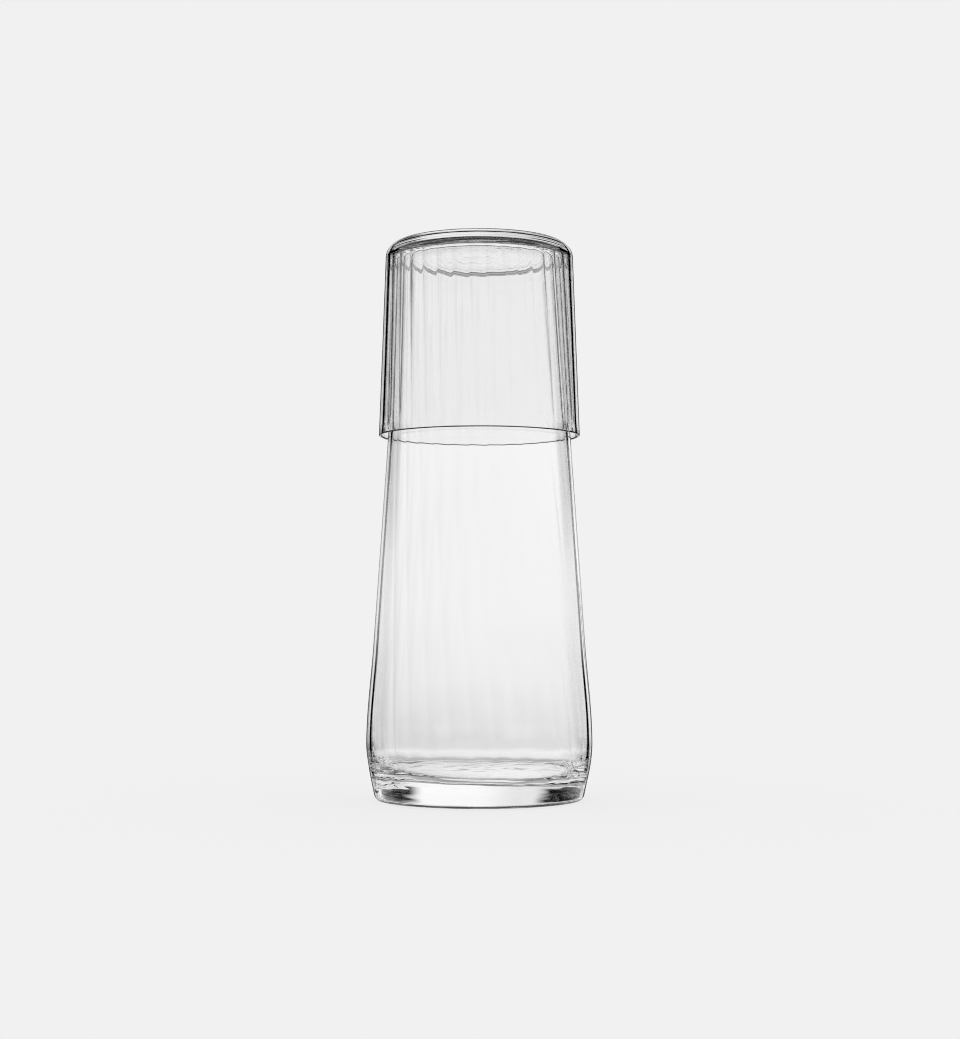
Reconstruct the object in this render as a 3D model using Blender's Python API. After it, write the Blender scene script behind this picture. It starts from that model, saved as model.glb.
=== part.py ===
"""Ribbed glass carafe with a matching tumbler upside down over its neck as a lid.

Metres, +Z up. The origin is at the centre of the foot, on the surface that the carafe stands on.
"""

import math

import bmesh
import bpy

# Carafe, outside
CARAFE_HEIGHT = 0.2043
FOOT_RADIUS = 0.0370
FOOT_CORNER = 0.0025
HEEL_LEAN = math.radians(12)
WIDEST_RADIUS = 0.0425
WIDEST_HEIGHT = 0.0215
BULGE_HEIGHT = 0.0360
BULGE_NARROWING = 0.0025
MOUTH_RADIUS = 0.0300

# Carafe, glass
RIM_WALL = 0.0010
BODY_WALL = 0.0015
HEEL_WALL = 0.0090
HEEL_RISE = 0.0180
FLOOR_THICKNESS = 0.0085

# Tumbler, standing upside down on the carafe's rim
SEAT_GAP = 0.0003
TUMBLER_HEIGHT = 0.0737
TUMBLER_BASE = 0.0060
TUMBLER_RIM_CLEARANCE = 0.0025
TUMBLER_FLOOR_CLEARANCE = 0.0043
TUMBLER_RIM_WALL = 0.0010
TUMBLER_LOW_WALL = 0.0014
TUMBLER_SHOULDER = 0.0056
TUMBLER_FLOOR_FILLET = 0.0012

# Upright ribs on the inner sides: shallow hollow flutes that meet in ridges
CARAFE_RIBS = 32
TUMBLER_RIBS = 36
CARAFE_FLUTE_DEPTH = 0.00012
TUMBLER_FLUTE_DEPTH = 0.00020
FLUTE_FADE = 0.0040
STEPS_PER_RIB = 2

# Colour of the glass and how finely round stretches are cut
GLASS_COLOUR = (0.95, 0.97, 0.97, 1.0)
GLASS_ROUGHNESS = 0.02
GLASS_IOR = 1.5
CORNER_STEPS = 4
CURVE_STEPS = 5
WALL_STEPS = 2
LIP_STEPS = 4
SMOOTH_ANGLE = math.radians(35)


def between(low, high, share):
    return low + (high - low) * share


def arc(centre, radius, start_deg, end_deg, steps):
    """Points (r, z) on a round stretch of a profile."""
    points = []
    for step in range(steps + 1):
        angle = math.radians(between(start_deg, end_deg, step / steps))
        points.append((centre[0] + radius * math.cos(angle), centre[1] + radius * math.sin(angle)))
    return points


def hermite(start, start_tangent, end, end_tangent, share):
    """Point of the smooth curve that leaves start and reaches end along the given tangents."""
    squared = share * share
    cubed = squared * share
    start_weight = 2 * cubed - 3 * squared + 1
    weights = (start_weight, cubed - 2 * squared + share, 1 - start_weight, cubed - squared)
    knots = (start, start_tangent, end, end_tangent)
    return tuple(sum(weight * knot[axis] for weight, knot in zip(weights, knots)) for axis in (0, 1))


def curve(start, start_tangent, end, end_tangent, steps):
    shares = [step / steps for step in range(steps + 1)]
    return [hermite(start, start_tangent, end, end_tangent, share) for share in shares]


def straight(start, end, steps):
    return [
        (between(start[0], end[0], step / steps), between(start[1], end[1], step / steps))
        for step in range(steps + 1)
    ]


def without_repeats(points):
    kept = points[:1]
    for point in points[1:]:
        if math.dist(point, kept[-1]) > SEAT_GAP / 100:
            kept.append(point)
    return kept


# The carafe's outer side, from its foot up

CONE_FOOT = (WIDEST_RADIUS - BULGE_NARROWING, WIDEST_HEIGHT + BULGE_HEIGHT)
CONE_TOP = (MOUTH_RADIUS, CARAFE_HEIGHT)


def foot_corner():
    lean_deg = math.degrees(HEEL_LEAN)
    return arc((FOOT_RADIUS, FOOT_CORNER), FOOT_CORNER, -90, -lean_deg, CORNER_STEPS)


def heel_curve():
    start = foot_corner()[-1]
    rise = WIDEST_HEIGHT - start[1]
    start_tangent = (rise * math.sin(HEEL_LEAN), rise * math.cos(HEEL_LEAN))
    return start, start_tangent, (WIDEST_RADIUS, WIDEST_HEIGHT), (0, rise)


def bulge_curve():
    lean = (CONE_TOP[0] - CONE_FOOT[0]) / (CONE_TOP[1] - CONE_FOOT[1])
    end_tangent = (lean * BULGE_HEIGHT, BULGE_HEIGHT)
    return (WIDEST_RADIUS, WIDEST_HEIGHT), (0, BULGE_HEIGHT), CONE_FOOT, end_tangent


def radius_on(points, height):
    """Radius at a height on a profile that only rises."""
    for low, high in zip(points, points[1:]):
        if low[1] <= height <= high[1]:
            return between(low[0], high[0], (height - low[1]) / (high[1] - low[1]))
    return points[-1][0]


def carafe_side():
    return without_repeats(
        foot_corner()
        + curve(*heel_curve(), CURVE_STEPS)
        + curve(*bulge_curve(), CURVE_STEPS)
        + straight(CONE_FOOT, CONE_TOP, WALL_STEPS)
    )


def carafe_radius(height):
    return radius_on(carafe_side(), height)


# The carafe's inner side

def carafe_wall(height):
    """Thickness of the wall above the heel, thinning towards the rim."""
    heel_top = FLOOR_THICKNESS + HEEL_RISE
    return between(BODY_WALL, RIM_WALL, (height - heel_top) / (CARAFE_HEIGHT - heel_top))


def carafe_lining():
    """Points (r, z, share of the flute depth) down the inner wall and round the heel to the floor."""
    heel_top = FLOOR_THICKNESS + HEEL_RISE
    flute_top = CARAFE_HEIGHT - RIM_WALL / 2 - FLUTE_FADE
    heights = [between(flute_top, CONE_FOOT[1], step / WALL_STEPS) for step in range(WALL_STEPS)]
    heights += [between(CONE_FOOT[1], heel_top, step / CURVE_STEPS) for step in range(CURVE_STEPS + 1)]
    wall = [(carafe_radius(height) - carafe_wall(height), height) for height in heights]
    floor_edge = (carafe_radius(FLOOR_THICKNESS) - HEEL_WALL, FLOOR_THICKNESS)
    heel_reach = wall[-1][0] - floor_edge[0]
    heel = curve(wall[-1], (0, -HEEL_RISE), floor_edge, (-heel_reach, 0), CURVE_STEPS)
    return [(r, z, 1) for r, z in wall] + [(r, z, 0) for r, z in heel[1:]]


def carafe_profile():
    """Points (r, z, share of the flute depth) from the foot's edge, over the rim, to the floor's edge."""
    lip_centre = (MOUTH_RADIUS - RIM_WALL / 2, CARAFE_HEIGHT - RIM_WALL / 2)
    lip = arc(lip_centre, RIM_WALL / 2, 0, 180, LIP_STEPS)
    side = [point for point in carafe_side() if point[1] < lip[0][1]]
    return [(r, z, 0) for r, z in side + lip] + carafe_lining()


# The tumbler, in its own frame: the origin is on its inner floor, which looks down

def tumbler_wall_line():
    """Inner wall from the rim to the floor, kept clear of the carafe's neck."""
    rim_drop = TUMBLER_HEIGHT - TUMBLER_BASE
    neck_at_rim = carafe_radius(CARAFE_HEIGHT + SEAT_GAP - rim_drop)
    rim = (neck_at_rim + TUMBLER_RIM_CLEARANCE, -rim_drop)
    floor = (MOUTH_RADIUS + TUMBLER_FLOOR_CLEARANCE, 0)
    return rim, floor


def tumbler_profile():
    """Points (r, z, share of the flute depth) from the base's edge, round the rim, to the floor's edge."""
    (rim_radius, rim_height), (floor_radius, _) = tumbler_wall_line()
    shoulder_height = TUMBLER_BASE - TUMBLER_SHOULDER
    shoulder_radius = floor_radius + TUMBLER_LOW_WALL
    shoulder_centre = (shoulder_radius - TUMBLER_SHOULDER, shoulder_height)
    shoulder = arc(shoulder_centre, TUMBLER_SHOULDER, 90, 0, CORNER_STEPS)

    half_wall = TUMBLER_RIM_WALL / 2
    lip_centre = (rim_radius + half_wall, rim_height + half_wall)
    lip = arc(lip_centre, half_wall, 0, -180, LIP_STEPS)
    fillet_radius = min(TUMBLER_FLOOR_FILLET, TUMBLER_FLOOR_CLEARANCE)
    fillet_centre = (floor_radius - fillet_radius, -fillet_radius)
    fillet = arc(fillet_centre, fillet_radius, 0, 90, CORNER_STEPS)
    fade_share = FLUTE_FADE / math.dist(lip[-1], fillet[0])
    flute_ends = [
        tuple(between(lip[-1][axis], fillet[0][axis], share) for axis in (0, 1))
        for share in (fade_share, 1 - fade_share)
    ]

    points = [(r, z, 0) for r, z in shoulder + lip]
    points += [(r, z, 1) for r, z in straight(*flute_ends, WALL_STEPS)]
    points += [(r, z, 0) for r, z in fillet]
    return points


# Turned and fluted glass

def flute_share(angle, ribs):
    """Share of the flute depth at an angle: nothing on a ridge, all of it midway between two ridges."""
    place = (angle / math.tau * ribs) % 1
    return 1 - (2 * place - 1) ** 2


def glass_material(name):
    material = bpy.data.materials.new(name)
    material.use_nodes = True
    shader = material.node_tree.nodes["Principled BSDF"]
    shader.inputs["Base Color"].default_value = GLASS_COLOUR
    shader.inputs["Roughness"].default_value = GLASS_ROUGHNESS
    shader.inputs["Metallic"].default_value = 0
    shader.inputs["IOR"].default_value = GLASS_IOR
    shader.inputs["Transmission Weight"].default_value = 1
    material.diffuse_color = GLASS_COLOUR
    return material


def turned_glass(name, profile, ribs, flute_depth):
    """Spins a profile about Z, closes its open ends with flat discs and sinks the flutes into its inner side."""
    bm = bmesh.new()
    fluting = bm.verts.layers.float.new("fluting")
    verts = []
    for r, z, share in profile:
        vert = bm.verts.new((r, 0, z))
        vert[fluting] = share
        verts.append(vert)
    edges = [bm.edges.new(pair) for pair in zip(verts, verts[1:])]
    bmesh.ops.spin(
        bm,
        geom=verts + edges,
        cent=(0, 0, 0),
        axis=(0, 0, 1),
        angle=math.tau,
        steps=ribs * STEPS_PER_RIB,
        use_merge=True,
    )
    for vert in bm.verts:
        radius = math.hypot(vert.co.x, vert.co.y)
        depth = flute_depth * vert[fluting] * flute_share(math.atan2(vert.co.y, vert.co.x), ribs)
        vert.co.x *= 1 + depth / radius
        vert.co.y *= 1 + depth / radius
    open_edges = [edge for edge in bm.edges if edge.is_boundary]
    bmesh.ops.holes_fill(bm, edges=open_edges, sides=0)
    bmesh.ops.recalc_face_normals(bm, faces=bm.faces)
    mesh = bpy.data.meshes.new(name)
    bm.to_mesh(mesh)
    bm.free()
    mesh.shade_smooth()
    mesh.set_sharp_from_angle(angle=SMOOTH_ANGLE)
    mesh.materials.append(glass_material(name + "_glass"))
    part = bpy.data.objects.new(name, mesh)
    bpy.context.scene.collection.objects.link(part)
    return part


def main():
    for old in list(bpy.data.objects):
        bpy.data.objects.remove(old)
    turned_glass("carafe", carafe_profile(), CARAFE_RIBS, CARAFE_FLUTE_DEPTH)
    tumbler = turned_glass("tumbler", tumbler_profile(), TUMBLER_RIBS, TUMBLER_FLUTE_DEPTH)
    tumbler.location.z = CARAFE_HEIGHT + SEAT_GAP


main()
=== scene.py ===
"""Ribbed glass carafe with its tumbler upside down over the neck, on a pale studio floor."""

import math

import bpy
from bpy.props import FloatProperty, FloatVectorProperty, IntProperty, PointerProperty
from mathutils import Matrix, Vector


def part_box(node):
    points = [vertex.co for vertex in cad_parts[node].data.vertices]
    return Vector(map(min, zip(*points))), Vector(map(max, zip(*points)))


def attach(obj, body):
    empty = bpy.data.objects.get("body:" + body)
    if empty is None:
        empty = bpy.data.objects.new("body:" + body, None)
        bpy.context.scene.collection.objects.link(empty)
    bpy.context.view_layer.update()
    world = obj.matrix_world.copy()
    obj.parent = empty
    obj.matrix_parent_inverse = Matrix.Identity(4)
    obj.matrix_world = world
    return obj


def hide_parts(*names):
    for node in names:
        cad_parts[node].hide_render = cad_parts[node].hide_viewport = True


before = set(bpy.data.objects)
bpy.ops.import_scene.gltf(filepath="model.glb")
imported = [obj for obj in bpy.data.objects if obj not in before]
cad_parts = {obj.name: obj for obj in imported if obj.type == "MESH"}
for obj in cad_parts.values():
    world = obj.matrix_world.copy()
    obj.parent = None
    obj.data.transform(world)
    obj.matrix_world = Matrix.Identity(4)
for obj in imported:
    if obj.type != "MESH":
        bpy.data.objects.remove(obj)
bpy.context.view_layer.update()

bl_info = {
    "name": "Carafe and Glass Set",
    "version": (1, 0, 0),
    "blender": (4, 5, 0),
    "location": "View3D > Sidebar > Glass Set",
    "description": "Ribbed glass carafe with a tumbler over its neck, and the studio they stand in",
    "category": "Add Mesh",
}

# Places taken from the solid model
_, CARAFE_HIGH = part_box("carafe")
TUMBLER_LOW, TUMBLER_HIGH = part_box("tumbler")

# How finely the glass and the table top are cut
COLUMNS_PER_RIB = 12
RING_SPACING = 0.0035
CORNER_STEPS = 8
RIM_STEPS = 4
CURVE_STEPS = 12
DISC_CENTRE = 0.003
DISC_SPACING = 0.0040
FLOOR_SPACING = 0.0012
TABLE_COLUMNS = 128

# How sharply the carafe's wall thickens towards the floor, and the share of the heel that it does so in
HEEL_POWER = 4
HEEL_CURVE_END = 0.8

# Share of the height where the ribs begin to fade at the rim, and how far they fade out on a floor
RIB_END = 0.93
RIB_FADE = 0.003

# Waves in the blown glass: their width, and where they begin and are full
LINING_WAVE_WIDTH = 0.022
LINING_WAVE_FROM_SEAT = (0.002, 0.006)
LINING_WAVE_FROM_FOOT = (0.001, 0.004)
SWIRL_WIDTH = 0.009
SWIRL_ABOVE_FLOOR = (0.006, 0.001)
HEEL_WAVE_WIDTH = 0.012
HEEL_WAVE_TOP = (0.030, 0.018)

# Camera and picture
SENSOR = 36.0
PIXEL_BLUR = 1.0
GLASS_BOUNCES = 32
GLOSSY_BOUNCES = 16

# Gap between the foot and the table top, so that they do not share a surface
TABLE_GAP = 0.0003

# Greys of the studio that glass shows, by degrees above the horizon
STUDIO_GREYS = (
    (-76, 0.90),
    (-66, 0.85),
    (-62, 0.35),
    (-52, 0.45),
    (-44, 0.50),
    (-32, 0.70),
    (-24, 0.90),
    (-16, 0.96),
    (-12, 1.00),
    (-8, 0.80),
    (-4, 0.76),
    (-2, 0.95),
    (0, 1.00),
    (12, 1.03),
    (16, 1.03),
    (24, 0.98),
    (28, 0.55),
    (32, 0.12),
    (54, 0.06),
    (60, 0.30),
    (70, 0.10),
)

# Dark flags at the sides of the studio, in degrees: where one starts, is full, begins to fade and ends
FLAG_CENTRE = 1.5
NEAR_FLAG = (20, 29)
FAR_FLAG = (20, 40)
FLAG_END = (70, 60)
FLAG_RISE = (7, 11, 13, 17)
FLAG_FALL = (-14, -11, -7, -5)
FLAG_FOOT = (-14, -9)

# Haze that lightens the flags near the horizon
HORIZON = (-6, -3, 4, 7)
HORIZON_HAZE = 0.8

# Darker flags low in the studio, on the right and further round on the left
LOW_RIGHT_FLAG = (28, 38, 104, 118)
LOW_LEFT_FLAG = (64, 74, 104, 118)
LOW_RISE = (-48, -42, -20, -13)
LOW_DARK = 0.9

# Faint shade on the left of the window
LEFT_SHADE = (-2, 14, 24, 36)
LEFT_SHADE_DEPTH = 0.18

# Painted shade: dark lines along the outline, by how far the outer side is turned away: 0 is facing and 1 is
# edge on
EDGE_LINE = (0.68, 0.715, 0.745, 0.78)
EDGE_LINE_FOOT = (0.010, 0.020)
EDGE_RIM = (0.83, 0.89)
EDGE_RIM_SHARE = 0.8
EDGE_OUTWARD = (0.0, 0.01)
EDGE_UPRIGHT = (0.6, 0.3)

# Heights between which those painted dark lines are fainter
EDGE_FAINT = (0.045, 0.065, 0.128, 0.137)
EDGE_FAINTNESS = 0.4

# Painted shade: dark lines on the tumbler's rounded corners and the foot's, by how far the glass is turned
# up or down
CORNER_TURN = (0.20, 0.40, 0.80, 0.93)
CORNER_SHARE = 0.7
CORNER_HEIGHT = (TUMBLER_LOW.z - 0.01, TUMBLER_LOW.z, TUMBLER_HIGH.z - 0.0058, TUMBLER_HIGH.z - 0.0055)
FOOT_TURN = (0.50, 0.70, 0.90, 0.97)
FOOT_SHARE = 0.6
FOOT_TOP = (0.0025, 0.0020)

# Smears, streaks, rings and press marks on the glass
CLEAR_TINT = (0.965, 0.965, 0.965, 1.0)
SMEAR_SCALE = 24.0
SMEAR_RANGE = (0.45, 0.75)
SMEAR_ROUGHNESS = 0.012
STREAK_SCALE = 450.0
STREAK_STRETCH = 0.03
STREAK_HEIGHT = 0.1
RING_SCALE = 45.0
RING_DISTORTION = 2.5
RING_HEIGHT = 0.15
PRESS_SCALE = 40.0
PRESS_STRETCH = 6.0
PRESS_HEIGHT = 3.0
PRESS_TOP = (0.011, 0.008)
LEVEL_TURN = (0.80, 0.95)
RELIEF_HEIGHT = 0.0001


class CarafeSizes(bpy.types.PropertyGroup):
    """Sizes of the carafe."""

    height: FloatProperty(
        name="Height", description="From the foot to the rim", default=CARAFE_HIGH.z, unit="LENGTH"
    )
    foot_radius: FloatProperty(
        name="Foot radius", description="Radius of the flat foot", default=0.0370, unit="LENGTH"
    )
    foot_corner: FloatProperty(
        name="Foot corner", description="Rounding of the edge of the foot", default=0.0025, unit="LENGTH"
    )
    heel_lean: FloatProperty(
        name="Heel lean", description="Outward lean of the heel above the foot",
        default=math.radians(12), unit="ROTATION", subtype="ANGLE"
    )
    widest_radius: FloatProperty(
        name="Widest radius", description="Radius at the widest part",
        default=CARAFE_HIGH.x, unit="LENGTH"
    )
    widest_height: FloatProperty(
        name="Widest height", description="Height of the widest part", default=0.0215, unit="LENGTH"
    )
    bulge_height: FloatProperty(
        name="Bulge height", description="Height of the rounded part above the widest",
        default=0.0360, unit="LENGTH"
    )
    bulge_narrowing: FloatProperty(
        name="Bulge narrowing", description="How much the rounded part narrows",
        default=0.0025, unit="LENGTH"
    )
    mouth_radius: FloatProperty(
        name="Mouth radius", description="Outer radius at the rim", default=0.0300, unit="LENGTH"
    )
    rim_wall: FloatProperty(
        name="Rim wall", description="Thickness of the glass at the rim", default=0.0009, unit="LENGTH"
    )
    rim_rounding: FloatProperty(
        name="Rim rounding", description="Rounding of the rim's two edges", default=0.0004, unit="LENGTH"
    )
    body_wall: FloatProperty(
        name="Body wall", description="Thickness of the glass above the heel",
        default=0.0015, unit="LENGTH"
    )
    heel_wall: FloatProperty(
        name="Heel wall", description="Thickness of the glass at the floor's edge",
        default=0.0090, unit="LENGTH"
    )
    heel_rise: FloatProperty(
        name="Heel rise", description="Height over which the inside rounds into the floor",
        default=0.0180, unit="LENGTH"
    )
    heel_thickening: FloatProperty(
        name="Heel thickening", description="How much the wall thickens towards the floor",
        default=0.0035, unit="LENGTH"
    )
    floor_thickness: FloatProperty(
        name="Floor thickness", description="Thickness of the glass under the inside",
        default=0.0085, unit="LENGTH"
    )
    ribs: IntProperty(name="Ribs", description="Upright ribs round the carafe", default=32)
    flute_depth: FloatProperty(
        name="Flute depth", description="How deep the hollows between ribs are at the base",
        default=0.0001, unit="LENGTH"
    )
    flute_thinning: FloatProperty(
        name="Flute thinning", description="Share of the depth that is left at the rim",
        default=0.55, subtype="FACTOR"
    )
    flute_start: FloatProperty(
        name="Flute start", description="Share of the height over which the hollows begin",
        default=0.06, subtype="FACTOR"
    )
    first_rib: FloatProperty(
        name="First rib", description="Place of one rib before the ribs are turned",
        default=0, unit="ROTATION", subtype="ANGLE"
    )
    waviness: FloatProperty(
        name="Waviness", description="Unevenness of the blown inner side", default=0.00006, unit="LENGTH"
    )
    floor_swirls: FloatProperty(
        name="Floor swirls", description="Height of the swirls in the inner floor",
        default=0.0002, unit="LENGTH"
    )
    floor_slope: FloatProperty(
        name="Floor slope", description="Lean of the inner floor, which is thicker on the left",
        default=math.radians(1.5), unit="ROTATION", subtype="ANGLE"
    )
    heel_waves: FloatProperty(
        name="Heel waves", description="Height of the waves round the heel",
        default=0.00012, unit="LENGTH"
    )
    twist: FloatProperty(
        name="Twist", description="Turn of the ribs from the foot to the rim",
        default=math.radians(-27), unit="ROTATION", subtype="ANGLE"
    )


class TumblerSizes(bpy.types.PropertyGroup):
    """Sizes of the tumbler, which stands upside down."""

    top: FloatProperty(
        name="Top", description="Height of the upturned base", default=TUMBLER_HIGH.z, unit="LENGTH"
    )
    rim_height: FloatProperty(
        name="Rim height", description="Height of the downturned rim",
        default=TUMBLER_LOW.z, unit="LENGTH"
    )
    rim_radius: FloatProperty(
        name="Rim radius", description="Outer radius at the rim", default=TUMBLER_HIGH.x, unit="LENGTH"
    )
    floor_radius: FloatProperty(
        name="Floor radius", description="Inner radius at the base", default=0.0344, unit="LENGTH"
    )
    base: FloatProperty(
        name="Base", description="Thickness of the base", default=0.0060, unit="LENGTH"
    )
    rim_wall: FloatProperty(
        name="Rim wall", description="Thickness of the glass at the rim", default=0.0011, unit="LENGTH"
    )
    rim_rounding: FloatProperty(
        name="Rim rounding", description="Rounding of the rim's two edges",
        default=0.00055, unit="LENGTH"
    )
    low_wall: FloatProperty(
        name="Low wall", description="Thickness of the glass beside the base",
        default=0.0013, unit="LENGTH"
    )
    shoulder: FloatProperty(
        name="Shoulder", description="Rounding of the outer edge of the base",
        default=0.0056, unit="LENGTH"
    )
    floor_fillet: FloatProperty(
        name="Floor fillet", description="Rounding of the inner edge of the base",
        default=0.0008, unit="LENGTH"
    )
    ribs: IntProperty(name="Ribs", description="Upright ribs round the tumbler", default=36)
    flute_depth: FloatProperty(
        name="Flute depth", description="How deep the hollows between ribs are at the base",
        default=0.0003, unit="LENGTH"
    )
    flute_thinning: FloatProperty(
        name="Flute thinning", description="Share of the depth that is left at the rim",
        default=0.55, subtype="FACTOR"
    )
    flute_start: FloatProperty(
        name="Flute start", description="Share of the height over which the hollows begin",
        default=0.02, subtype="FACTOR"
    )
    first_rib: FloatProperty(
        name="First rib", description="Place of one rib before the ribs are turned",
        default=math.radians(25 / 3), unit="ROTATION", subtype="ANGLE"
    )
    waviness: FloatProperty(
        name="Waviness", description="Unevenness of the blown inner side", default=0.00004, unit="LENGTH"
    )
    twist: FloatProperty(
        name="Twist", description="Turn of the ribs from the base to the rim",
        default=math.radians(-5.5), unit="ROTATION", subtype="ANGLE"
    )


class GlassLook(bpy.types.PropertyGroup):
    """Colour and finish of the glass."""

    tint: FloatVectorProperty(
        name="Tint", description="Colour of light that has passed through a wall",
        default=(0.935, 0.935, 0.935), size=3, min=0, max=1, subtype="COLOR"
    )
    ior: FloatProperty(name="Refraction", description="Index of refraction of soda glass", default=1.5)


class StageLook(bpy.types.PropertyGroup):
    """Camera, floor and background."""

    camera_distance: FloatProperty(
        name="Camera distance", description="From the carafe's axis", default=0.719, unit="LENGTH"
    )
    camera_aside: FloatProperty(
        name="Camera aside", description="To the right of the carafe's axis",
        default=0.00025, unit="LENGTH"
    )
    camera_height: FloatProperty(
        name="Camera height", description="Above the floor", default=0.0661, unit="LENGTH"
    )
    aim_height: FloatProperty(
        name="Aim height", description="Height on the axis that the camera looks at",
        default=0.1054, unit="LENGTH"
    )
    lens: FloatProperty(name="Lens", description="Focal length", default=65.85, subtype="DISTANCE_CAMERA")
    floor_radius: FloatProperty(
        name="Floor radius", description="Radius of the table top", default=0.335, unit="LENGTH"
    )
    background: FloatProperty(
        name="Background", description="Brightness of the pale background", default=0.8796, min=0, max=1
    )
    shadow: FloatProperty(
        name="Shadow", description="Strength of the shadow on the floor",
        default=0.12, min=0, max=1, subtype="FACTOR"
    )


class GlassSet(bpy.types.PropertyGroup):
    """All settings of the set."""

    carafe: PointerProperty(type=CarafeSizes)
    tumbler: PointerProperty(type=TumblerSizes)
    glass: PointerProperty(type=GlassLook)
    stage: PointerProperty(type=StageLook)


# Shading

class Wire:
    """An output socket. Arithmetic on it adds Math nodes to its tree."""

    def __init__(self, shading, socket):
        self.shading = shading
        self.socket = socket

    def math(self, operation, first, second=0.0):
        return self.shading.node("ShaderNodeMath", {"operation": operation}, {0: first, 1: second})

    def out(self, name):
        """Another output of the same node."""
        return Wire(self.shading, self.socket.node.outputs[name])

    def __add__(self, other):
        return self.math("ADD", self, other)

    def __sub__(self, other):
        return self.math("SUBTRACT", self, other)

    def __rsub__(self, other):
        return self.math("SUBTRACT", other, self)

    def __mul__(self, other):
        return self.math("MULTIPLY", self, other)

    def __truediv__(self, other):
        return self.math("DIVIDE", self, other)

    def __abs__(self):
        return self.math("ABSOLUTE", self)

    __radd__ = __add__
    __rmul__ = __mul__


class Shading:
    """The nodes of one material or of the world."""

    def __init__(self, owner):
        owner.use_nodes = True
        self.tree = owner.node_tree
        self.tree.nodes.clear()

    def node(self, kind, settings=None, sockets=None, output=0):
        """Adds a node, sets its settings first and then the values or links of its sockets."""
        made = self.tree.nodes.new(kind)
        for name, value in (settings or {}).items():
            if name == "stops":
                self.set_stops(made.color_ramp.elements, value)
            else:
                setattr(made, name, value)
        for name, value in (sockets or {}).items():
            if isinstance(value, Wire):
                self.tree.links.new(value.socket, made.inputs[name])
            else:
                made.inputs[name].default_value = value
        return Wire(self, made.outputs[output] if made.outputs else None)

    def set_stops(self, elements, stops):
        """Gives a ramp its stops, each a place from 0 to 1 and a grey."""
        while len(elements) < len(stops):
            elements.new(1.0)
        for element, (place, grey) in zip(elements, stops):
            element.position = place
            element.color = (grey, grey, grey, 1.0)

    def step(self, value, start, end, low=0.0, high=1.0):
        """A soft step from low to high as the value goes from start to end."""
        limits = {"Value": value, "From Min": start, "From Max": end, "To Min": low, "To Max": high}
        return self.node("ShaderNodeMapRange", {"interpolation_type": "SMOOTHSTEP"}, limits)

    def band(self, value, limits):
        """Nothing, then a soft step up to 1 and a soft step back down."""
        start, full, full_until, end = limits
        return self.step(value, start, full) * self.step(value, end, full_until)

    def parts(self, vector):
        """The X of a vector. Its Y and Z are other outputs of the same node."""
        return self.node("ShaderNodeSeparateXYZ", {}, {"Vector": vector})

    def mix_colour(self, share, first, second):
        return self.node("ShaderNodeMix", {"data_type": "RGBA"}, {0: share, 6: first, 7: second}, 2)


def painted_dark_lines(nodes, place):
    """Shares of painted shade: dark lines along the outline, on the tumbler's rounded corners and at the
    foot.
    """
    across = nodes.parts(place)
    turn = nodes.parts(place.out("Normal"))
    height = across.out("Z")
    upward = abs(turn.out("Z"))
    outward = across * turn + across.out("Y") * turn.out("Y")
    facing = nodes.node("ShaderNodeLayerWeight", {}, {"Blend": 0.5}, "Facing")
    inner_line = nodes.band(facing, EDGE_LINE) * nodes.step(height, *EDGE_LINE_FOOT)
    outer_line = EDGE_RIM_SHARE * nodes.step(facing, *EDGE_RIM)
    outer_side = nodes.step(outward, *EDGE_OUTWARD) * nodes.step(upward, *EDGE_UPRIGHT)
    faintness = EDGE_FAINTNESS * nodes.band(height, EDGE_FAINT)
    edge = (inner_line + outer_line) * outer_side * (1 - faintness)
    corner = CORNER_SHARE * nodes.band(upward, CORNER_TURN) * nodes.band(height, CORNER_HEIGHT)
    foot = FOOT_SHARE * nodes.band(upward, FOOT_TURN) * nodes.step(height, *FOOT_TOP)
    return edge + corner + foot


def blown_relief(nodes, place):
    """Streaks drawn up the sides, press marks low on the heel and rings on level glass."""
    height = nodes.parts(place).out("Z")
    upward = abs(nodes.parts(place.out("Normal")).out("Z"))
    drawn = nodes.node("ShaderNodeMapping", {}, {"Vector": place, "Scale": (1.0, 1.0, STREAK_STRETCH)})
    streaks = nodes.node("ShaderNodeTexNoise", {}, {"Vector": drawn, "Scale": STREAK_SCALE, "Detail": 2.0})
    pressed = nodes.node("ShaderNodeMapping", {}, {"Vector": place, "Scale": (1.0, 1.0, PRESS_STRETCH)})
    presses = nodes.node("ShaderNodeTexNoise", {}, {"Vector": pressed, "Scale": PRESS_SCALE, "Detail": 1.0})
    wave = {
        "Vector": place,
        "Scale": RING_SCALE,
        "Distortion": RING_DISTORTION,
        "Detail": 1.0,
        "Detail Scale": 1.0,
    }
    rings = nodes.node("ShaderNodeTexWave", {"wave_type": "RINGS", "rings_direction": "Z"}, wave)
    heel = nodes.step(height, *PRESS_TOP)
    level = nodes.step(upward, *LEVEL_TURN)
    upright = streaks * STREAK_HEIGHT + presses * PRESS_HEIGHT * heel
    return upright * (1 - level) + rings * level * RING_HEIGHT


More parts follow.
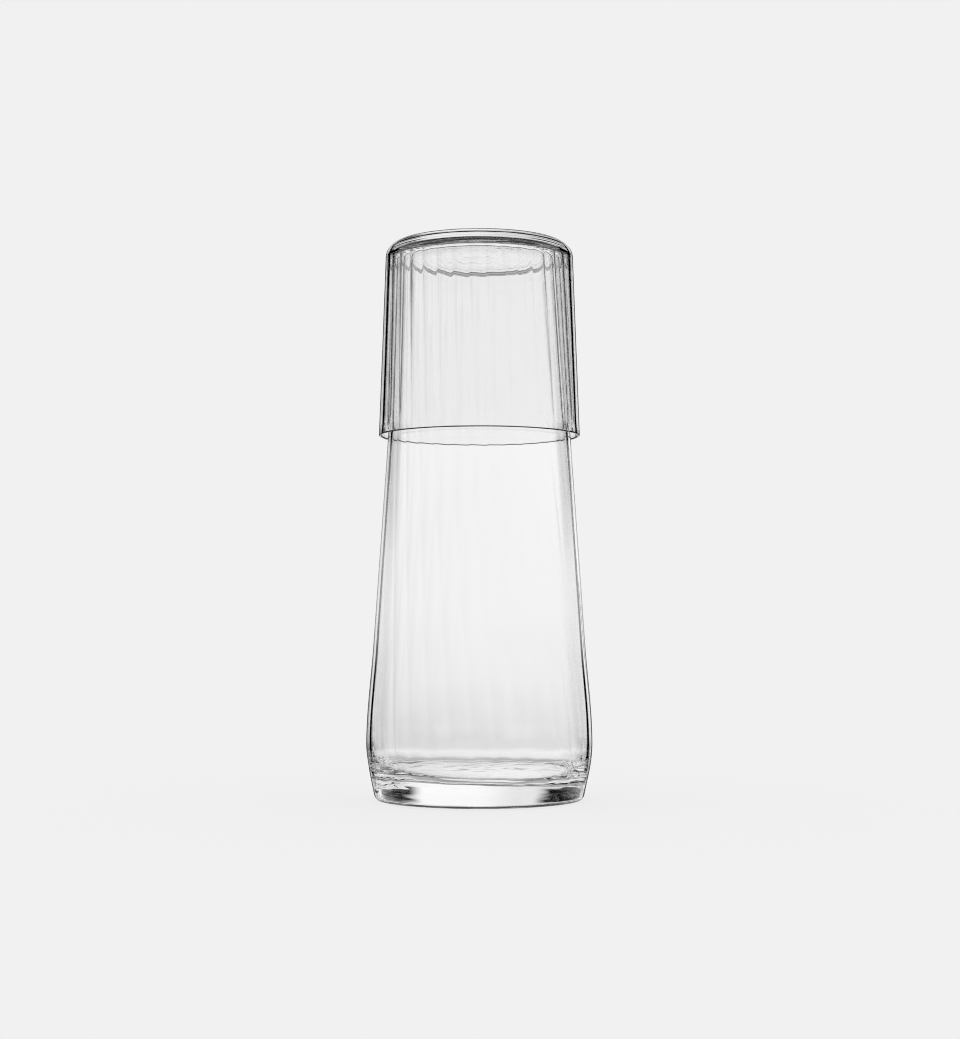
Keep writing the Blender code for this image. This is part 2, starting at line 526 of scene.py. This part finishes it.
def glass_finish(name, look):
    """Clear glass with the faint unevenness and smears of a blown surface, and painted dark lines near its
    outline and corners.
    """
    material = bpy.data.materials.new(name)
    nodes = Shading(material)
    place = nodes.node("ShaderNodeTexCoord", output="Object")
    smears = nodes.node("ShaderNodeTexNoise", {}, {"Vector": place, "Scale": SMEAR_SCALE, "Detail": 5.0})
    relief = {"Height": blown_relief(nodes, place), "Strength": 1.0, "Distance": RELIEF_HEIGHT}
    sockets = {
        "Base Color": nodes.mix_colour(smears, (*look.tint, 1.0), CLEAR_TINT),
        "Roughness": nodes.step(smears, *SMEAR_RANGE, 0.0, SMEAR_ROUGHNESS),
        "IOR": look.ior,
        "Transmission Weight": 1.0,
        "Normal": nodes.node("ShaderNodeBump", {}, relief),
    }
    glass = nodes.node("ShaderNodeBsdfPrincipled", {}, sockets)
    # Black for the painted shade, mixed into the glass along the painted dark lines
    painted_black = nodes.node("ShaderNodeBsdfDiffuse", {}, {"Color": (0.0, 0.0, 0.0, 1.0)})
    surface = nodes.node("ShaderNodeMixShader", {}, {0: painted_dark_lines(nodes, place), 1: glass, 2: painted_black})
    nodes.node("ShaderNodeOutputMaterial", {}, {"Surface": surface})
    return material


# Outlines of the turned glass, as points (radius, height)

def between(low, high, share):
    return low + (high - low) * share


def arc(centre, radius, start_deg, end_deg, steps=CORNER_STEPS):
    points = []
    for step in range(steps + 1):
        angle = math.radians(between(start_deg, end_deg, step / steps))
        points.append((centre[0] + radius * math.cos(angle), centre[1] + radius * math.sin(angle)))
    return points


def hermite(start, start_tangent, end, end_tangent, share):
    """Point of the smooth curve that leaves start and reaches end along the given tangents."""
    squared = share * share
    cubed = squared * share
    start_weight = 2 * cubed - 3 * squared + 1
    weights = (start_weight, cubed - 2 * squared + share, 1 - start_weight, cubed - squared)
    knots = (start, start_tangent, end, end_tangent)
    return tuple(sum(weight * knot[axis] for weight, knot in zip(weights, knots)) for axis in (0, 1))


def curve(start, start_tangent, end, end_tangent, steps=CURVE_STEPS):
    shares = [step / steps for step in range(steps + 1)]
    return [hermite(start, start_tangent, end, end_tangent, share) for share in shares]


def straight(start, end):
    steps = max(1, round(math.dist(start, end) / RING_SPACING))
    return [
        (between(start[0], end[0], step / steps), between(start[1], end[1], step / steps))
        for step in range(steps + 1)
    ]


def rim_edge(radius, height, wall, rounding, way):
    """Rounded end of a wall from outside to inside. Way is 1 for an upper end and -1 for a lower one."""
    level = height - way * rounding
    outer = arc((radius - rounding, level), rounding, 0, way * 90, RIM_STEPS)
    inner = arc((radius - wall + rounding, level), rounding, way * 90, way * 180, RIM_STEPS)
    return outer + inner


def disc(radius, height, spacing=DISC_SPACING):
    """Rings of a flat disc from its middle to its edge."""
    steps = round(radius / spacing)
    return [(between(DISC_CENTRE, radius, step / steps), height) for step in range(steps + 1)]


def without_repeats(points):
    kept = points[:1]
    for point in points[1:]:
        if math.dist(point, kept[-1]) > RING_SPACING / 1000:
            kept.append(point)
    return kept


def radius_on(points, height):
    """Radius at a height on an outline that only rises."""
    for low, high in zip(points, points[1:]):
        if low[1] <= height <= high[1]:
            return between(low[0], high[0], (height - low[1]) / (high[1] - low[1]))
    return points[-1][0] if height > points[-1][1] else points[0][0]


def carafe_side(sizes):
    """Outer side from the edge of the foot to the rim."""
    lean_deg = math.degrees(sizes.heel_lean)
    corner = arc((sizes.foot_radius, sizes.foot_corner), sizes.foot_corner, -90, -lean_deg)
    widest = (sizes.widest_radius, sizes.widest_height)
    rise = widest[1] - corner[-1][1]
    lean = (rise * math.sin(sizes.heel_lean), rise * math.cos(sizes.heel_lean))
    cone_foot = (sizes.widest_radius - sizes.bulge_narrowing, sizes.widest_height + sizes.bulge_height)
    cone_top = (sizes.mouth_radius, sizes.height)
    taper = (cone_top[0] - cone_foot[0]) / (cone_top[1] - cone_foot[1])
    heel = curve(corner[-1], lean, widest, (0, rise))
    cone_lean = (taper * sizes.bulge_height, sizes.bulge_height)
    bulge = curve(widest, (0, sizes.bulge_height), cone_foot, cone_lean)
    return without_repeats(corner + heel + bulge + straight(cone_foot, cone_top))


def carafe_outline(sizes):
    """From the middle of the foot, up the side, over the rim and down to the middle of the inner floor."""
    side = carafe_side(sizes)
    lip = rim_edge(sizes.mouth_radius, sizes.height, sizes.rim_wall, sizes.rim_rounding, 1)
    heel_top = sizes.floor_thickness + sizes.heel_rise
    lining = []
    for radius, height in reversed(side):
        if heel_top < height < lip[-1][1]:
            share = (height - heel_top) / (sizes.height - heel_top)
            lining.append((radius - between(sizes.body_wall, sizes.rim_wall, share * (2 - share)), height))
    heel = []
    for step in range(CURVE_STEPS + 1):
        share = HEEL_CURVE_END * step / CURVE_STEPS
        height = heel_top - share * sizes.heel_rise
        wall = sizes.body_wall + sizes.heel_thickening * share**HEEL_POWER
        heel.append((radius_on(side, height) - wall, height))
    floor_edge = (radius_on(side, sizes.floor_thickness) - sizes.heel_wall, sizes.floor_thickness)
    reach = math.dist(heel[-1], floor_edge)
    slope = math.atan2(heel[-1][1] - heel[-2][1], heel[-1][0] - heel[-2][0])
    corner = curve(heel[-1], (reach * math.cos(slope), reach * math.sin(slope)), floor_edge, (-reach, 0))
    inner_floor = disc(*floor_edge, FLOOR_SPACING)[::-1]
    outer = [point for point in side if point[1] < lip[0][1]]
    return without_repeats(disc(sizes.foot_radius, 0) + outer + lip + lining + heel + corner + inner_floor)


def tumbler_side(sizes):
    """Outer side from the rim up and over the shoulder."""
    rim = (sizes.rim_radius, sizes.rim_height + sizes.rim_rounding)
    shoulder = (sizes.floor_radius + sizes.low_wall, sizes.top - sizes.shoulder)
    rounding = arc((shoulder[0] - sizes.shoulder, shoulder[1]), sizes.shoulder, 0, 90)
    return without_repeats(straight(rim, shoulder) + rounding)


def tumbler_outline(sizes):
    """From the middle of the upturned base, round the rim and up to the middle of the inner floor."""
    side = tumbler_side(sizes)
    floor_height = sizes.top - sizes.base
    lip = rim_edge(sizes.rim_radius, sizes.rim_height, sizes.rim_wall, sizes.rim_rounding, -1)
    fillet_centre = (sizes.floor_radius - sizes.floor_fillet, floor_height - sizes.floor_fillet)
    fillet = arc(fillet_centre, sizes.floor_fillet, 0, 90)
    lining = straight(lip[-1], fillet[0])
    base = disc(side[-1][0], sizes.top)
    inner_floor = disc(fillet[-1][0], floor_height)[::-1]
    return without_repeats(base + side[::-1] + lip + lining + fillet + inner_floor)


# Modelling

def turned(name, outline, columns):
    """A disc drawn out ring by ring along an outline until it closes on itself as a vessel."""
    bpy.ops.object.select_all(action="DESELECT")
    radius, height = outline[0]
    bpy.ops.mesh.primitive_circle_add(
        vertices=columns, radius=radius, fill_type="NGON", location=(0, 0, height)
    )
    bpy.ops.object.transform_apply(location=True, rotation=True, scale=True)
    piece = bpy.context.object
    piece.name = name
    piece.data.name = name
    bpy.ops.object.mode_set(mode="EDIT")
    for (radius, height), (next_radius, next_height) in zip(outline, outline[1:]):
        bpy.ops.mesh.extrude_region_move(TRANSFORM_OT_translate={"value": (0, 0, next_height - height)})
        growth = next_radius / radius
        bpy.ops.transform.resize(value=(growth, growth, 1), center_override=(0, 0, next_height))
    bpy.ops.mesh.select_all(action="SELECT")
    bpy.ops.mesh.normals_make_consistent(inside=False)
    bpy.ops.object.mode_set(mode="OBJECT")
    return piece


def shaped_by(piece, kind, name, settings):
    """Adds a modifier and applies it."""
    modifier = piece.modifiers.new(name, kind)
    for setting, value in settings.items():
        setattr(modifier, setting, value)
    bpy.ops.object.modifier_apply(modifier=name)


def weighted(piece, name, weight_at):
    """A vertex group whose weights come from each point's place."""
    group = piece.vertex_groups.new(name=name)
    for vertex in piece.data.vertices:
        weight = weight_at(vertex.co)
        if weight > 0:
            group.add([vertex.index], weight, "REPLACE")
    return name


def soft_step(value, start, end):
    share = min(1, max(0, (value - start) / (end - start)))
    return share * share * (3 - 2 * share)


def is_inside(point, side, sizes):
    return math.hypot(point.x, point.y) < radius_on(side, point.z) - sizes.rim_wall / 2


def flute(piece, sizes, side, base, rim, floor_edge=0.0):
    """Sinks upright hollows into the inner side, shallower towards the rim, and leaves ribs between them."""

    def depth_at(point):
        if not is_inside(point, side, sizes):
            return 0
        place = ((math.atan2(point.y, point.x) - sizes.first_rib) / math.tau * sizes.ribs) % 1
        rise = (point.z - base) / (rim - base)
        ends = soft_step(rise, 0, sizes.flute_start) * soft_step(rise, 1, RIB_END)
        ends *= soft_step(math.hypot(point.x, point.y), floor_edge - RIB_FADE, floor_edge)
        return ends * between(1, sizes.flute_thinning, rise) * (1 - (2 * place - 1) ** 2)

    group = weighted(piece, "flutes", depth_at)
    settings = {"strength": -sizes.flute_depth, "mid_level": 0, "vertex_group": group}
    shaped_by(piece, "DISPLACE", "flutes", settings)


def make_uneven(piece, name, width, height, share_at):
    """Gives part of the glass slight waves of a width and a height."""
    waves = bpy.data.textures.new(piece.name + "_" + name, "CLOUDS")
    waves.noise_scale = width
    waves.noise_depth = 1
    settings = {
        "texture": waves,
        "texture_coords": "LOCAL",
        "strength": 2 * height,
        "mid_level": 0.5,
        "vertex_group": weighted(piece, name, share_at),
    }
    shaped_by(piece, "DISPLACE", name, settings)


def lean_left(piece, angle, share_at):
    """Raises part of the glass on the left and lowers it on the right."""
    settings = {
        "texture": bpy.data.textures.new(piece.name + "_slope", "BLEND"),
        "texture_coords": "LOCAL",
        "direction": "Z",
        "strength": -2 * math.tan(angle),
        "mid_level": 0.5,
        "vertex_group": weighted(piece, "slope", share_at),
    }
    shaped_by(piece, "DISPLACE", "slope", settings)


def wave_lining(piece, sizes, side, seat):
    """Waves on the blown inner side, but none where the two glasses rest on each other."""

    def share_at(point):
        if not is_inside(point, side, sizes):
            return 0
        from_seat = math.dist((math.hypot(point.x, point.y), point.z), seat)
        return soft_step(from_seat, *LINING_WAVE_FROM_SEAT) * soft_step(point.z, *LINING_WAVE_FROM_FOOT)

    make_uneven(piece, "waves", LINING_WAVE_WIDTH, sizes.waviness, share_at)


def wave_base(piece, sizes, side):
    """Swirls and a slope in the inner floor, and waves round the outside of the heel."""
    floor = sizes.floor_thickness

    def floor_share(point):
        if not is_inside(point, side, sizes):
            return 0
        above = point.z - floor
        return soft_step(point.z, floor / 4, floor / 2) * soft_step(above, *SWIRL_ABOVE_FLOOR)

    def heel_share(point):
        if is_inside(point, side, sizes):
            return 0
        return soft_step(point.z, 0, sizes.foot_corner) * soft_step(point.z, *HEEL_WAVE_TOP)

    make_uneven(piece, "swirls", SWIRL_WIDTH, sizes.floor_swirls, floor_share)
    lean_left(piece, sizes.floor_slope, floor_share)
    make_uneven(piece, "heel_waves", HEEL_WAVE_WIDTH, sizes.heel_waves, heel_share)


def finished(piece, node, material):
    """Smooths the glass and puts it in the place of its solid."""
    piece.vertex_groups.clear()
    bpy.ops.object.shade_smooth()
    piece.data.materials.append(material)
    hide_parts(node)
    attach(piece, node)


def turn_ribs(piece, angle):
    settings = {"deform_method": "TWIST", "deform_axis": "Z", "angle": angle}
    shaped_by(piece, "SIMPLE_DEFORM", "twist", settings)


class GLASSSET_OT_carafe(bpy.types.Operator):
    """Model the ribbed glass carafe"""

    bl_idname = "glass_set.carafe"
    bl_label = "Carafe"
    bl_options = {"REGISTER", "UNDO"}

    def execute(self, context):
        settings = context.scene.glass_set
        sizes = settings.carafe
        side = carafe_side(sizes)
        carafe = turned("carafe_glass", carafe_outline(sizes), sizes.ribs * COLUMNS_PER_RIB)
        flute(carafe, sizes, side, sizes.floor_thickness, sizes.height)
        wave_lining(carafe, sizes, side, (sizes.mouth_radius, sizes.height))
        wave_base(carafe, sizes, side)
        turn_ribs(carafe, sizes.twist)
        finished(carafe, "carafe", glass_finish("clear_carafe_glass", settings.glass))
        return {"FINISHED"}


class GLASSSET_OT_tumbler(bpy.types.Operator):
    """Model the ribbed tumbler upside down over the neck"""

    bl_idname = "glass_set.tumbler"
    bl_label = "Tumbler"
    bl_options = {"REGISTER", "UNDO"}

    def execute(self, context):
        settings = context.scene.glass_set
        sizes = settings.tumbler
        side = tumbler_side(sizes)
        tumbler = turned("tumbler_glass", tumbler_outline(sizes), sizes.ribs * COLUMNS_PER_RIB)
        flute_base = sizes.top - sizes.base + sizes.floor_fillet
        flute(tumbler, sizes, side, flute_base, sizes.rim_height, sizes.floor_radius - sizes.floor_fillet)
        wave_lining(tumbler, sizes, side, (settings.carafe.mouth_radius, settings.carafe.height))
        turn_ribs(tumbler, sizes.twist)
        finished(tumbler, "tumbler", glass_finish("clear_tumbler_glass", settings.glass))
        return {"FINISHED"}


# Stage

def lay_floor(look):
    """A round pale table top."""
    bpy.ops.object.select_all(action="DESELECT")
    bpy.ops.mesh.primitive_circle_add(vertices=TABLE_COLUMNS, radius=look.floor_radius, fill_type="NGON")
    floor = bpy.context.object
    floor.name = "pale_floor"
    bpy.ops.object.mode_set(mode="EDIT")
    bpy.ops.mesh.select_all(action="SELECT")
    bpy.ops.transform.translate(value=(0, 0, -TABLE_GAP))
    bpy.ops.object.mode_set(mode="OBJECT")
    material = bpy.data.materials.new("pale_table_top")
    nodes = Shading(material)
    lit = look.background * look.shadow
    glow = look.background - lit
    shaded = nodes.node("ShaderNodeBsdfDiffuse", {}, {"Color": (lit, lit, lit, 1.0)})
    even = nodes.node("ShaderNodeEmission", {}, {"Color": (glow, glow, glow, 1.0)})
    pale = nodes.node("ShaderNodeAddShader", {}, {0: shaded, 1: even})
    unseen = nodes.node("ShaderNodeBsdfTransparent")
    path = nodes.node("ShaderNodeLightPath", output="Is Glossy Ray")
    from_glass = path.math("MAXIMUM", path, path.out("Is Transmission Ray"))
    shader = nodes.node("ShaderNodeMixShader", {}, {0: from_glass, 1: pale, 2: unseen})
    nodes.node("ShaderNodeOutputMaterial", {}, {"Surface": shader})
    floor.data.materials.append(material)


def dark_flags(nodes, right, rise):
    """Shares of dark on both sides of the window that glass shows."""
    near = nodes.band(rise, FLAG_RISE) + nodes.band(rise, FLAG_FALL)
    start, full = (far - (far - close) * near for far, close in zip(FAR_FLAG, NEAR_FLAG))
    off_centre = abs(right - FLAG_CENTRE)
    flags = nodes.step(off_centre, start, full) * nodes.step(off_centre, *FLAG_END)
    haze = HORIZON_HAZE * nodes.band(rise, HORIZON)
    return flags * (1 - haze) * nodes.step(rise, *FLAG_FOOT)


def studio_window(nodes):
    """How bright the studio that glass shows is in each direction."""
    x = nodes.parts(nodes.node("ShaderNodeTexCoord", output="Generated"))
    y, z = x.out("Y"), x.out("Z")
    right = x.math("ARCTAN2", x, y) * (180 / math.pi)
    left = 0 - right
    rise = z.math("ARCSINE", z) * (180 / math.pi)
    stops = [((degrees + 90) / 180, grey) for degrees, grey in STUDIO_GREYS]
    grey = nodes.node("ShaderNodeValToRGB", {"stops": stops}, {"Fac": rise / 180 + 0.5})
    low_flags = nodes.band(right, LOW_RIGHT_FLAG) + nodes.band(left, LOW_LEFT_FLAG)
    low_dark = LOW_DARK * low_flags * nodes.band(rise, LOW_RISE)
    left_dark = LEFT_SHADE_DEPTH * nodes.band(left, LEFT_SHADE)
    return grey * (1 - left_dark) * (1 - low_dark) * (1 - dark_flags(nodes, right, rise))


def light_studio(look):
    """Soft even light. Glass also shows a pale window with dark flags beside it, which draw its edges."""
    world = bpy.data.worlds.new("soft_studio")
    bpy.context.scene.world = world
    nodes = Shading(world)
    window = studio_window(nodes)
    path = nodes.node("ShaderNodeLightPath", output="Is Camera Ray")
    through_glass = path.math("MAXIMUM", path.out("Is Glossy Ray"), path.out("Is Transmission Ray"))
    seen = nodes.node("ShaderNodeMix", {"data_type": "FLOAT"}, {0: through_glass, 2: 1.0, 3: window})
    strength = nodes.node("ShaderNodeMix", {"data_type": "FLOAT"}, {0: path, 2: seen, 3: look.background})
    white = (1.0, 1.0, 1.0, 1.0)
    light = nodes.node("ShaderNodeBackground", {}, {"Color": white, "Strength": strength})
    nodes.node("ShaderNodeOutputWorld", {}, {"Surface": light})


def set_camera(look):
    bpy.ops.object.select_all(action="DESELECT")
    tilt = math.atan2(look.aim_height - look.camera_height, look.camera_distance)
    place = (look.camera_aside, -look.camera_distance, look.camera_height)
    bpy.ops.object.camera_add(location=place, rotation=(math.radians(90) + tilt, 0, 0))
    camera = bpy.context.object
    camera.name = "photo_camera"
    camera.data.lens = look.lens
    camera.data.sensor_width = SENSOR
    camera.data.dof.use_dof = False
    bpy.context.scene.camera = camera


class GLASSSET_OT_stage(bpy.types.Operator):
    """Lay the floor, light the studio and place the camera"""

    bl_idname = "glass_set.stage"
    bl_label = "Stage"
    bl_options = {"REGISTER", "UNDO"}

    def execute(self, context):
        look = context.scene.glass_set.stage
        lay_floor(look)
        light_studio(look)
        set_camera(look)
        scene = context.scene
        scene.view_settings.view_transform = "Standard"
        scene.cycles.max_bounces = GLASS_BOUNCES
        scene.cycles.transmission_bounces = GLASS_BOUNCES
        scene.cycles.glossy_bounces = GLOSSY_BOUNCES
        scene.cycles.filter_width = PIXEL_BLUR
        return {"FINISHED"}


class GLASSSET_PT_panel(bpy.types.Panel):
    """Lists the pieces of the set and its stage"""

    bl_idname = "GLASSSET_PT_panel"
    bl_label = "Glass Set"
    bl_space_type = "VIEW_3D"
    bl_region_type = "UI"
    bl_category = "Glass Set"

    def draw(self, context):
        settings = context.scene.glass_set
        groups = (
            (settings.carafe, "glass_set.carafe"),
            (settings.tumbler, "glass_set.tumbler"),
            (settings.glass, None),
            (settings.stage, "glass_set.stage"),
        )
        for group, operator in groups:
            box = self.layout.box()
            for name in group.__annotations__:
                box.prop(group, name)
            if operator:
                box.operator(operator)


CLASSES = (
    CarafeSizes,
    TumblerSizes,
    GlassLook,
    StageLook,
    GlassSet,
    GLASSSET_OT_carafe,
    GLASSSET_OT_tumbler,
    GLASSSET_OT_stage,
    GLASSSET_PT_panel,
)


def register():
    for cls in CLASSES:
        bpy.utils.register_class(cls)
    bpy.types.Scene.glass_set = PointerProperty(type=GlassSet)


def unregister():
    del bpy.types.Scene.glass_set
    for cls in reversed(CLASSES):
        bpy.utils.unregister_class(cls)


def main():
    register()
    bpy.ops.glass_set.carafe()
    bpy.ops.glass_set.tumbler()
    bpy.ops.glass_set.stage()


if __name__ == "__main__":
    main()
